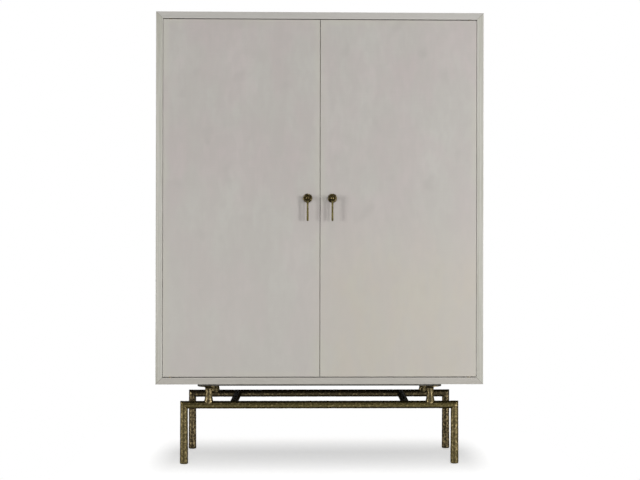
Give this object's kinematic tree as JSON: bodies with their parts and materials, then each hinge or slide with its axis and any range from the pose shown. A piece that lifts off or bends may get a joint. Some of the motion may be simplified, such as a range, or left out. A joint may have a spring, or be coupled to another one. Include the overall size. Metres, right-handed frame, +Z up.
{
  "type": "bar armoire",
  "caption": "Tall two-door bar cabinet with a pale mitred case, small drop pulls and a hammered bronze bar stand; shelves, stemware rails and a crossed bottle rack inside.",
  "frame": {"origin": "on the floor under the middle of the whole piece, pulls included", "axes": "+Z up, +X to the right of someone facing the doors, doors face -Y"},
  "size_m": [1.22, 0.5334, 1.697],
  "materials": {
    "case_wood": "whitewashed open-grain wood, matt, grain along each board",
    "door_finish": "off-white parchment-like finish with faint cloudy mottling, satin",
    "inside_wood": "oiled light brown wood",
    "board_paint": "dark stained board, matt",
    "stand_bronze": "hammered antique bronze, dark in the hollows",
    "pull_bronze": "hammered dark bronze",
    "drop_brass": "aged brass, satin",
    "hinge_brass": "brushed brass",
    "fastener_steel": "plain steel",
    "catch_plastic": "black moulded plastic"
  },
  "bodies": {
    "case": {"case_top": "case_wood", "case_bottom": "case_wood", "case_left_side": "case_wood", "case_right_side": "case_wood", "mitre_splines": "inside_wood", "back_panel": "inside_wood", "back_screws": "fastener_steel", "left_top_hinge_case_leaf": "hinge_brass", "left_bottom_hinge_case_leaf": "hinge_brass", "right_top_hinge_case_leaf": "hinge_brass", "right_bottom_hinge_case_leaf": "hinge_brass", "door_catches": "catch_plastic", "case_hardware_screws": "fastener_steel", "serving_shelf": "inside_wood", "lower_partition": "inside_wood", "upper_shelf": "inside_wood", "lower_shelf": "inside_wood", "shelf_pins": "fastener_steel", "stemware_spacers": "inside_wood", "stemware_runners": "inside_wood", "bottle_rack_rising_board": "inside_wood", "bottle_rack_falling_board": "inside_wood", "front_rail": "stand_bronze", "front_left_leg": "stand_bronze", "front_left_post": "stand_bronze", "front_left_flange_disc": "stand_bronze", "front_right_leg": "stand_bronze", "front_right_post": "stand_bronze", "front_right_flange_disc": "stand_bronze", "rear_rail": "stand_bronze", "rear_left_leg": "stand_bronze", "rear_left_post": "stand_bronze", "rear_left_flange_disc": "stand_bronze", "rear_right_leg": "stand_bronze", "rear_right_post": "stand_bronze", "rear_right_flange_disc": "stand_bronze", "left_stretcher": "stand_bronze", "right_stretcher": "stand_bronze", "mounting_board": "board_paint", "stand_screws": "fastener_steel"},
    "left_door_body": {"left_door": "door_finish", "left_door_hinge_screws": "fastener_steel", "left_strike_buttons": "fastener_steel", "left_pull_rosette": "pull_bronze", "left_pull_post": "pull_bronze", "left_pull_pin": "drop_brass", "left_pull_bolt": "fastener_steel", "left_top_hinge_door_leaf": "hinge_brass", "left_bottom_hinge_door_leaf": "hinge_brass"},
    "left_pull_body": {"left_pull_drop": "drop_brass"},
    "right_door_body": {"right_door": "door_finish", "right_door_hinge_screws": "fastener_steel", "right_strike_buttons": "fastener_steel", "right_pull_rosette": "pull_bronze", "right_pull_post": "pull_bronze", "right_pull_pin": "drop_brass", "right_pull_bolt": "fastener_steel", "right_top_hinge_door_leaf": "hinge_brass", "right_bottom_hinge_door_leaf": "hinge_brass"},
    "right_pull_body": {"right_pull_drop": "drop_brass"}
  },
  "joints": [
    {"name": "left_door_hinge", "type": "hinge", "parent": "case", "child": "left_door_body", "pos_m": [-0.5565, -0.23177, 1.004], "axis": [0, 0, -1], "range_deg": [0, 110]},
    {"name": "left_pull_hinge", "type": "hinge", "parent": "left_door_body", "child": "left_pull_body", "pos_m": [-0.046, -0.26027, 1.004], "axis": [-1, 0, 0], "range_deg": [-10, 95]},
    {"name": "right_door_hinge", "type": "hinge", "parent": "case", "child": "right_door_body", "pos_m": [0.5565, -0.23177, 1.004], "axis": [0, 0, 1], "range_deg": [0, 110]},
    {"name": "right_pull_hinge", "type": "hinge", "parent": "right_door_body", "child": "right_pull_body", "pos_m": [0.046, -0.26027, 1.004], "axis": [-1, 0, 0], "range_deg": [-10, 95]}
  ]
}
